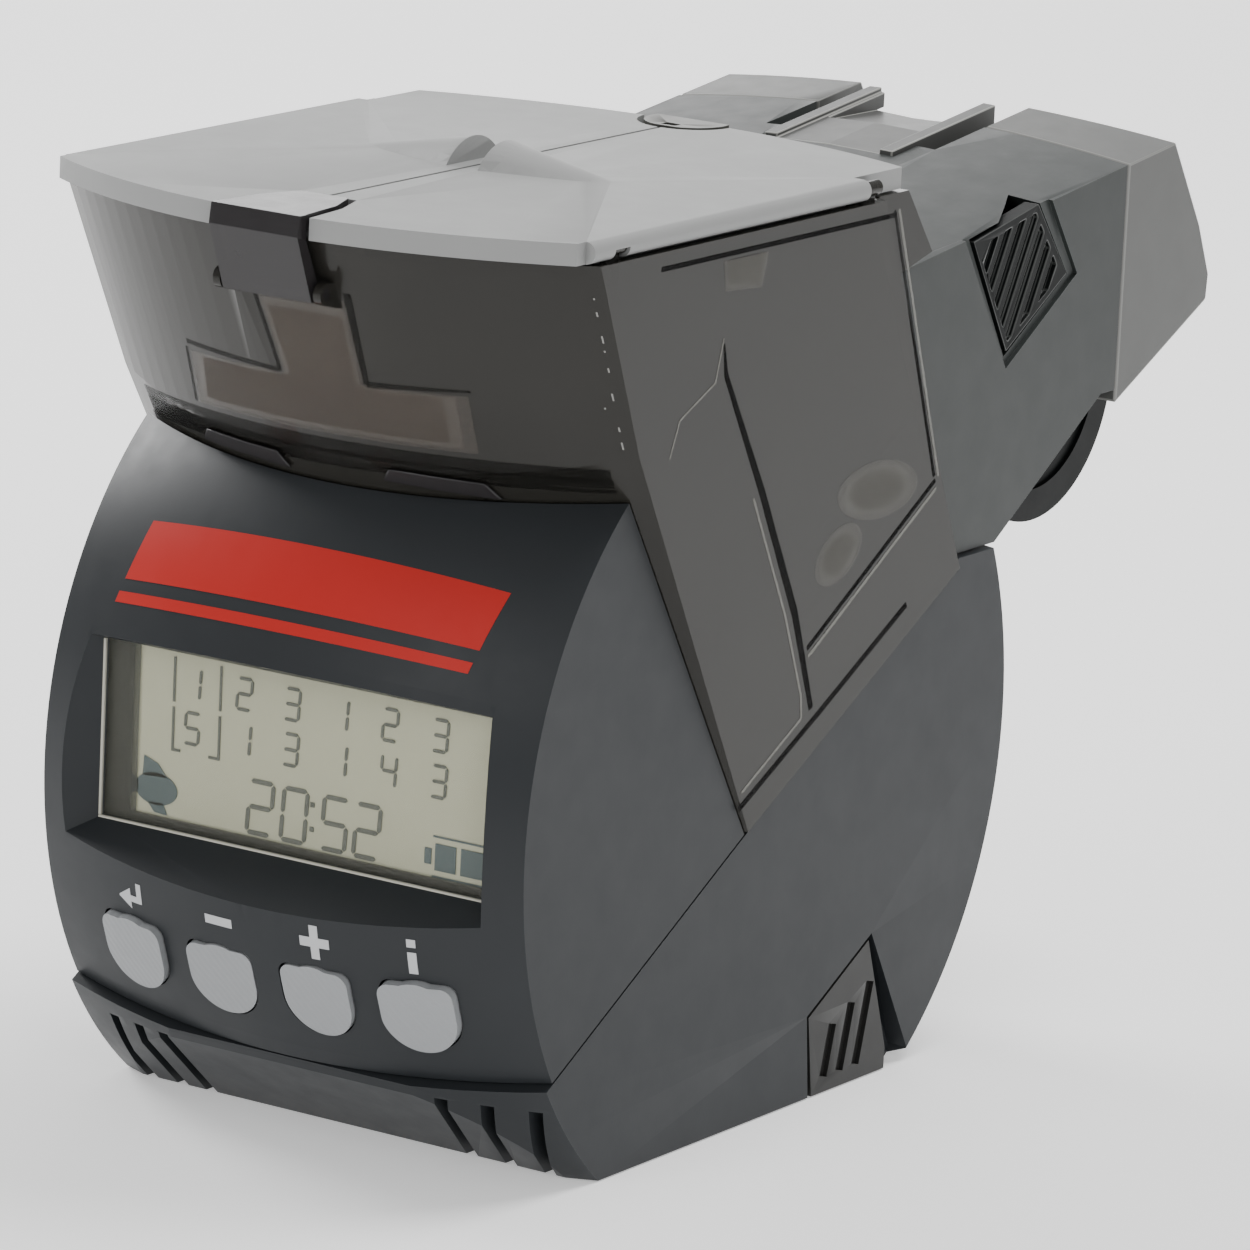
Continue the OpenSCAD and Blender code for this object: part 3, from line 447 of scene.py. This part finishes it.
def blob_patch(bm, centre, radii, turn, place, low=SHEET_LOW, high=SHEET_HIGH):
    """Flat ellipse in a surface's own coordinates, turned by so many degrees."""
    rings = []
    for out in (low, high):
        ring = []
        for i in range(ELLIPSE_SIDES):
            a = math.tau * i / ELLIPSE_SIDES
            p = Vector((radii[0] * math.cos(a), radii[1] * math.sin(a)))
            p.rotate(Matrix.Rotation(math.radians(turn), 2))
            ring.append(bm.verts.new(place(centre[0] + p.x, centre[1] + p.y, out)))
        rings.append(ring)
    close_rings(bm, rings)


def slab(bm, outline, y0, y1):
    """Flat (x, z) outline in mm stood up between y0 and y1."""
    rings = [[bm.verts.new(Vector((x, y, z)) * MM) for x, z in outline] for y in (y0, y1)]
    close_rings(bm, rings)


# ---------- display ----------


def digit(bm, char, x, z, height, stroke):
    """Seven-segment figure with its lower left corner at (x, z)."""
    width = 0.54 * height
    half = height / 2
    gap = 0.18 * stroke
    lean = 0.06

    def bar(x0, z0, x1, z1):
        if abs(x1 - x0) > abs(z1 - z0):
            pts = [(x0 + gap, z0), (x0 + gap + stroke / 2, z0 + stroke / 2),
                   (x1 - gap - stroke / 2, z0 + stroke / 2), (x1 - gap, z0),
                   (x1 - gap - stroke / 2, z0 - stroke / 2),
                   (x0 + gap + stroke / 2, z0 - stroke / 2)]
        else:
            pts = [(x0, z0 + gap), (x0 + stroke / 2, z0 + gap + stroke / 2),
                   (x0 + stroke / 2, z1 - gap - stroke / 2), (x0, z1 - gap),
                   (x0 - stroke / 2, z1 - gap - stroke / 2),
                   (x0 - stroke / 2, z0 + gap + stroke / 2)]
        slab(bm, [(x + u + lean * v, z + v) for u, v in pts], *INK_Y)

    bars = {
        "a": (0, height, width, height), "b": (width, half, width, height),
        "c": (width, 0, width, half), "d": (0, 0, width, 0),
        "e": (0, 0, 0, half), "f": (0, half, 0, height), "g": (0, half, width, half),
    }
    for name in SEGMENTS[char]:
        bar(*bars[name])


def rectangle(bm, x0, x1, z0, z1, depth=INK_Y):
    slab(bm, [(x0, z0), (x1, z0), (x1, z1), (x0, z1)], *depth)


def make_display(m):
    # Two rows of figures, the clock with its colon, and the brackets round the first column
    bm = bmesh.new()
    for text, z in (("123123", 60.0), ("513143", 53.7)):
        for char, x in zip(text, FIGURE_COLUMNS):
            digit(bm, char, x, z, 4.3, 0.46)
    for char, x in zip("2052", CLOCK_COLUMNS):
        digit(bm, char, x, 43.3, 7.2, 0.66)
    for z in (45.2, 48.6):
        rectangle(bm, 2.3, 3.0, z, z + 0.7)
    for x, inward in ((-21.3, 1), (-13.5, -1)):
        for z0, z1 in ((52.2, 58.4), (59.1, 65.4)):
            rectangle(bm, x, x + 0.4, z0, z1)
        a, b = sorted((x + (0.4 if inward > 0 else 0), x + inward * 1.5))
        rectangle(bm, a, b, 52.2, 52.6)
    add_object("display_figures", bm, m["ink"], "base")

    # A fish and a battery
    bm = bmesh.new()
    body = [(-23.6 + 3.6 * math.cos(math.radians(a)), 46.4 + 2.3 * math.sin(math.radians(a)))
            for a in range(-160, 161, 16)]
    slab(bm, body, *INK_Y)
    slab(bm, [(-26.6, 47.0), (-29.6, 49.4), (-28.6, 46.6), (-29.4, 44.0), (-26.6, 45.8)], *INK_Y)
    slab(bm, [(-26.0, 48.0), (-25.8, 50.8), (-23.4, 50.0), (-21.8, 48.2)], *INK_Y)
    slab(bm, [(-25.0, 44.4), (-23.8, 43.1), (-21.6, 43.0), (-22.4, 44.6)], *INK_Y)
    for x0, x1, z0, z1 in ((21.3, 22.4, 44.4, 46.6), (23.0, 26.4, 43.7, 47.4),
                           (27.2, 30.9, 43.7, 47.4)):
        rectangle(bm, x0, x1, z0, z1)
    for z in (42.7, 48.2):
        rectangle(bm, 22.6, 31.2, z, z + 0.26)
    add_object("display_symbols", bm, m["ink_blue"], "base")

    # Shade that the deep frame throws on the panel, in soft steps
    bm = bmesh.new()
    for step in range(5):
        near = SHADE_Y[0] + 0.002 * step, SHADE_Y[1] + 0.002 * step
        rectangle(bm, -32.6, -30.8 + 1.0 * step, 41.0, 66.8, near)
        rectangle(bm, -28.0, 32.6, 41.0, 41.9 + 0.22 * step, (near[0] - 0.1, near[1] - 0.1))
    add_object("display_shade", bm, m["shade"], "base")

    bm = bmesh.new()
    rectangle(bm, -34.0, 33.6, 39.8, 67.4, WINDOW_Y)
    lens = add_object("display_window", bm, m["lens"], "base")
    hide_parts("display_lens")

    # Painted highlight: a pale strip for the lit edge of the frame below and left of the panel
    bm = bmesh.new()
    rectangle(bm, -32.2, 33.0, 41.05, 41.55, LIP_Y)
    rectangle(bm, -32.2, -31.75, 41.55, 66.4, LIP_Y)
    lip = add_object("window_lip_highlight", bm, m["lip"], "base")
    edge = lip.modifiers.new("round", "BEVEL")
    edge.width = 0.12 * MM
    edge.segments = 2


# ---------- printed marks ----------


def make_marks(m):
    bm = bmesh.new()
    # Minus
    box_patch(bm, MINUS_U - 2.3, MINUS_U + 2.3, MARK_V - 0.6, MARK_V + 0.6, drum_place, (4, 2))
    # Plus
    for u0, u1, v0, v1 in ((-2.3, -0.65, -0.65, 0.65), (0.65, 2.3, -0.65, 0.65),
                           (-0.65, 0.65, -2.3, 2.3)):
        box_patch(bm, PLUS_U + u0, PLUS_U + u1, MARK_V + v0, MARK_V + v1, drum_place, (2, 4))
    # The i of the information key
    box_patch(bm, INFO_U - 0.65, INFO_U + 0.65, MARK_V - 2.3, MARK_V + 0.7, drum_place, (2, 3))
    box_patch(bm, INFO_U - 0.65, INFO_U + 0.65, MARK_V + 1.4, MARK_V + 2.5, drum_place)
    # Enter arrow: shaft, hook and head
    box_patch(bm, ENTER_U - 0.2, ENTER_U + 1.9, MARK_V - 1.1, MARK_V - 0.2, drum_place)
    box_patch(bm, ENTER_U + 1.0, ENTER_U + 1.9, MARK_V - 0.2, MARK_V + 1.7, drum_place)
    patch(bm, [(ENTER_U - 2.4, MARK_V - 0.75), (ENTER_U - 0.2, MARK_V - 2.1),
               (ENTER_U - 0.2, MARK_V + 0.8), (ENTER_U - 2.4, MARK_V - 0.55)],
          drum_place, (3, 2))
    add_object("key_marks", bm, m["print"], "base")

    # Plain slanted band with a thin stripe below it
    bm = bmesh.new()
    patch(bm, [(-29.6, 26.6), (29.2, 26.6), (30.8, 34.8), (-28.0, 34.8)], drum_place, (48, 8))
    patch(bm, [(-30.3, 23.4), (28.5, 23.4), (28.8, 24.9), (-30.0, 24.9)], drum_place, (48, 2))
    add_object("plain_band", bm, m["accent"], "base")


# ---------- painted shade for depth, and painted reflections, in the smoked hopper ---


def make_hopper_front(m):
    # Painted shade: dark lines for the edges of the two inner boxes and of the chute between them,
    # and a dark band along the foot
    bm = bmesh.new()
    line_patch(bm, [(-22.1, 108.7), (-4.4, 107.7), (-5.2, 120.4)], 0.7, front_place)
    line_patch(bm, [(10.2, 121.0), (9.4, 107.8), (24.1, 108.6)], [1.2, 0.9, 0.3], front_place)
    line_patch(bm, [(-22.5, 107.8), (-23.9, 99.5)], 0.5, front_place)
    for z0, z1 in ((95.8, 98.6), (94.8, 97.0), (94.0, 95.6)):
        patch(bm, [(-38, z0), (38.6, z0 + 1), (38.9, z1), (-38, z1)], front_place, (30, 1),
              low=0.07 - 0.002 * z0 / 10, high=0.10 - 0.002 * z0 / 10)
    add_object("hopper_front_shades", bm, m["smoke_dim_shade"], "food_unit")

    # Warm glow of the chute, in steps that grow denser inwards
    bm = bmesh.new()
    for step in range(PAINTED_LIGHT_STEPS):
        inset = 0.6 * step
        rise = 0.02 * step
        patch(bm, [(-3.8 + inset, 104.0), (8.9 - inset, 104.0), (9.5 - inset, 119.8 - 2 * inset),
                   (-4.6 + inset, 119.8 - 2 * inset)], front_place, (6, 2),
              low=0.010 + rise, high=0.018 + rise)
        patch(bm, [(-23.2 + 2 * inset, 99.4 + inset), (23.0 - 3 * inset, 99.4 + inset),
                   (23.6 - 3 * inset, 107.8 - inset / 2), (-21.8 + 2 * inset, 107.4 - inset / 2)],
              front_place, (20, 2), low=0.020 + rise, high=0.028 + rise)
    add_object("hopper_front_glow", bm, m["smoke_warm"], "food_unit")


def make_hopper_sides(m):
    for side, place in (("right", right_place), ("left", left_place)):
        # Painted shade: dark lines for the edges of the inner box and of the wall's frame
        bm = bmesh.new()
        line_patch(bm, [(-23.2, 113.5), (-22.0, 109.0), (-10.4, 91.0), (0.6, 72.3), (7.0, 57.6)],
                   [0.3, 0.9, 1.3, 1.4, 1.0], place)
        line_patch(bm, [(4.6, 66.6), (34.8, 85.8)], 0.7, place)
        line_patch(bm, [(17.4, 126.6), (34.4, 86.4)], 0.6, place)
        line_patch(bm, [(-9.6, 46.2), (9.8, 57.0), (30.0, 68.6)], 0.9, place)
        line_patch(bm, [(-40.0, 125.9), (18.0, 125.9)], 0.7, place)
        add_object("hopper_%s_shades" % side, bm, m["smoke_painted_shade"], "food_unit")

        # Light that catches beside those edges
        bm = bmesh.new()
        line_patch(bm, [(-34.3, 99.4), (-32.6, 104.4), (-24.6, 108.4), (-23.4, 114.4)], 0.3, place)
        line_patch(bm, [(-9.2, 48.6), (4.6, 56.6), (4.0, 60.0), (-2.0, 72.6), (-12.6, 90.6)],
                   0.45, place)
        line_patch(bm, [(5.0, 65.4), (35.2, 84.6)], 0.55, place)
        line_patch(bm, [(18.6, 126.6), (35.4, 86.4)], 0.5, place)
        blob_patch(bm, (-17.0, 121.6), (0.6, 0.5), 0, place)
        add_object("hopper_%s_gleams" % side, bm, m["smoke_light"], "food_unit")

        # Three soft reflections, in steps that grow denser inwards
        bm = bmesh.new()
        for step in range(PAINTED_LIGHT_STEPS):
            grow = (step + 1) / PAINTED_LIGHT_STEPS
            high = 0.05 + 0.012 * (PAINTED_LIGHT_STEPS - step)
            low = high - 0.006
            blob_patch(bm, (19.5, 86.8), (10.5 * grow, 4.2 * grow), -4, place, low, high)
            blob_patch(bm, (10.6, 79.0), (6.0 * grow, 3.9 * grow), 20, place, low, high)
            foot = 2.4 * grow
            patch(bm, [(-21.5 - 2.5 * grow, 123.2 - foot), (-17.5 + 2.5 * grow, 122.6 - foot),
                       (-17.0 + 3.0 * grow, 125.0), (-22.0 - 3.0 * grow, 125.0)],
                  place, low=low, high=high)
        add_object("hopper_%s_haze" % side, bm, m["smoke_reflection"], "food_unit")


def make_hopper_trim(m):
    # Pale flecks down the front right corner
    bm = bmesh.new()
    flecks = ((42.1, 123.4), (42.0, 121.0), (41.9, 117.2), (41.8, 115.9), (41.7, 113.0),
              (41.4, 108.9), (40.2, 107.6), (41.2, 104.4), (41.1, 101.8))
    for turn, (x, z) in enumerate(flecks):
        tall = 0.25 + 0.4 * (turn % 3)
        box_patch(bm, x - 0.08, x + 0.08, z, z + tall, front_place, (1, 1), 0.10)
    add_object("hopper_flecks", bm, m["fleck"], "food_unit")

    # Painted shade: a dark strip under the gap between the lids
    bm = bmesh.new()
    slab(bm, [(-0.3, 128.25), (0.3, 128.25), (0.3, 128.6), (-0.3, 128.6)], -54, 24)
    add_object("lid_gap_shade", bm, m["dark"], "food_unit")

    # Small stops that show along the hopper's foot
    bm = bmesh.new()
    for x0, x1 in ((-24.6, -7.4), (8.0, 24.6)):
        patch(bm, [(x0, 93.6), (x1, 92.8), (x1 - 1.6, 95.2), (x0 + 1.6, 95.6)], front_place,
              (10, 1), low=0.1, high=0.7)
    stops = add_object("hopper_stops", bm, m["clip"], "food_unit")
    rounded = stops.modifiers.new("round", "BEVEL")
    rounded.width = 0.25 * MM
    rounded.segments = 2
    rounded.limit_method = "ANGLE"


# ---------- build ----------

m = make_materials()
make_camera()
make_stage()

softened("base_shell", m["shell"], m["shell_edge_highlight"], "base", 0.35)
softened("control_housing", m["shell"], m["shell_edge_highlight"], "base", 0.35)
softened("battery_cover", m["tab"], m["tab_edge_highlight"], "battery_cover_body", 0.2)
softened("hopper", m["smoke"], m["smoke_edge_highlight"], "food_unit", 0.3)
softened("rear_housing", m["rear"], m["rear_edge_highlight"], "food_unit", 0.3)
softened("rear_cap", m["cap"], m["cap_edge_highlight"], "rear_cap_body", 0.4)
softened("cap_latch", m["latch"], m["latch_edge_highlight"], "cap_latch_body", 0.2)
softened("outlet_drum", m["rib"], m["rib"], "outlet_drum_body", 0.2)
for side in ("left", "right"):
    softened("lid_" + side, m["lid"], m["lid_edge_shade"], "lid_%s_body" % side, 0.4)
    softened("release_grip_" + side, m["rib"], m["rib_edge_highlight"], "release_grip_%s_body" % side,
             0.2)
for key in ("enter", "minus", "plus", "info"):
    softened("key_" + key, m["key"], m["key_edge_highlight"], "key_%s_body" % key, 0.5, 3)
softened("front_clip", m["clip"], m["clip"], "front_clip_body", 0.3)
softened("rear_clip", m["ear"], m["ear"], "rear_clip_body", 0.3)

make_display(m)
make_marks(m)
make_hopper_front(m)
make_hopper_sides(m)
make_hopper_trim(m)

repaint(m["panel"], "display_module")
repaint(m["board"], "main_board", "key_board")
repaint(m["rubber"], "key_mat", "rubber_feet")
repaint(m["dark"], "battery_tray", "fan_frame", "fan_rotor", "motor_bracket",
        "screw_bearing_left", "screw_bearing_right")
repaint(m["cell"], "battery_cells")
repaint(m["steel"], "battery_contacts", "housing_screws", "lid_hinge_pins")
repaint(m["can"], "motor_left", "motor_right")
repaint(m["brass"], "pinion_left", "pinion_right")
repaint(m["acetal"], "drive_gear_left", "drive_gear_right", "feed_screw_left", "feed_screw_right")
